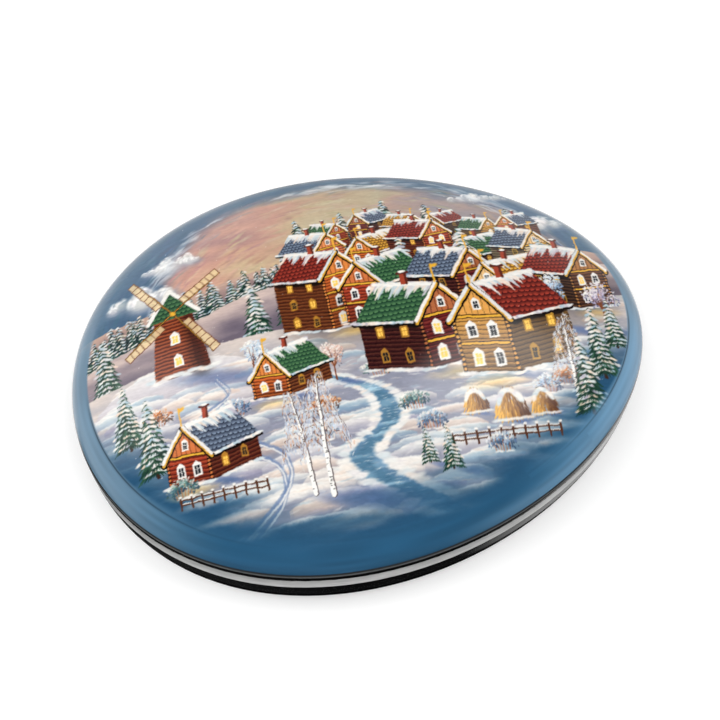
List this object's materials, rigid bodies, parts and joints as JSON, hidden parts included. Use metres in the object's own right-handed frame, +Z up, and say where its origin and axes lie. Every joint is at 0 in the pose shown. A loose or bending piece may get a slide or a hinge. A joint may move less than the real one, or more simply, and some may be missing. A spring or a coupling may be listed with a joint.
{
  "type": "hinged lacquer box",
  "caption": "Egg-shaped papier-mache lacquer box with a domed painted lid on a back hinge, a locating lip inside and a flat base to stand on.",
  "frame": {"origin": "centre of the footprint's bounding box, on the surface the box rests on", "axes": "+X along the length towards the narrower end, +Y towards the hinge at the back, +Z up"},
  "size_m": [0.14, 0.1048, 0.0377],
  "materials": {
    "lacquered_board": "gloss black lacquer",
    "red_board": "gloss red lacquer",
    "blue_board": "gloss blue lacquer over paint",
    "hinge_brass": "satin",
    "pin_steel": "satin"
  },
  "bodies": {
    "box": {"base_plate": "lacquered_board", "body_wall": "lacquered_board", "locating_lip": "red_board", "hinge_leaf_body": "hinge_brass", "hinge_pin": "pin_steel", "hinge_body_pins": "hinge_brass"},
    "lid": {"lid_rim": "blue_board", "lid_dome": "blue_board", "hinge_leaf_lid": "hinge_brass", "hinge_lid_pins": "hinge_brass"}
  },
  "joints": [
    {"name": "lid_hinge", "type": "hinge", "parent": "box", "child": "lid", "pos_m": [-0.00653, 0.05113, 0.0161], "axis": [-1, 0, 0], "range_deg": [0, 104]}
  ]
}
